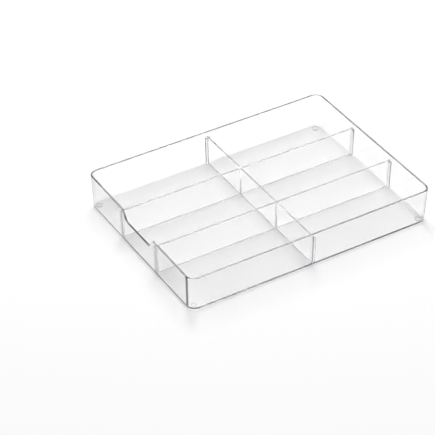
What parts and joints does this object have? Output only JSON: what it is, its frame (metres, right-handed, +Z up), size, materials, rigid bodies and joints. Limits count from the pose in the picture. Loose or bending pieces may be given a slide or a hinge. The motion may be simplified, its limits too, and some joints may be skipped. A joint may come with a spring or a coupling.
{
  "type": "drawer organizer insert",
  "caption": "Clear plastic tray insert for a desk drawer, with lift-out crossing dividers, a finger notch and soft feet.",
  "frame": {"origin": "middle of the tray's footprint, at the level that its feet stand on", "axes": "+Z up; +Y along the tray's length, away from the finger notch, so the notched front wall is on -Y; +X to the right seen from the front"},
  "size_m": [0.245, 0.335, 0.0483],
  "materials": {
    "clear_tray_plastic": "injection-moulded clear crystal polystyrene, polished mould",
    "clear_divider_plastic": "injection-moulded clear crystal polystyrene, polished mould",
    "clear_silicone": "clear soft silicone, slightly hazy"
  },
  "bodies": {
    "tray": {"tray_shell": "clear_tray_plastic", "foot_front_left": "clear_silicone", "foot_front_right": "clear_silicone", "foot_rear_left": "clear_silicone", "foot_rear_right": "clear_silicone"},
    "cross": {"cross_divider": "clear_divider_plastic"},
    "long_left": {"long_divider_left": "clear_divider_plastic"},
    "long_right": {"long_divider_right": "clear_divider_plastic"}
  },
  "joints": [
    {"name": "cross_divider_lift", "type": "slide", "parent": "tray", "child": "cross", "axis": [0, 0, 1], "range_m": [0, 0.06]},
    {"name": "long_divider_left_lift", "type": "slide", "parent": "cross", "child": "long_left", "axis": [0, 0, 1], "range_m": [0, 0.06]},
    {"name": "long_divider_right_lift", "type": "slide", "parent": "cross", "child": "long_right", "axis": [0, 0, 1], "range_m": [0, 0.06]}
  ]
}
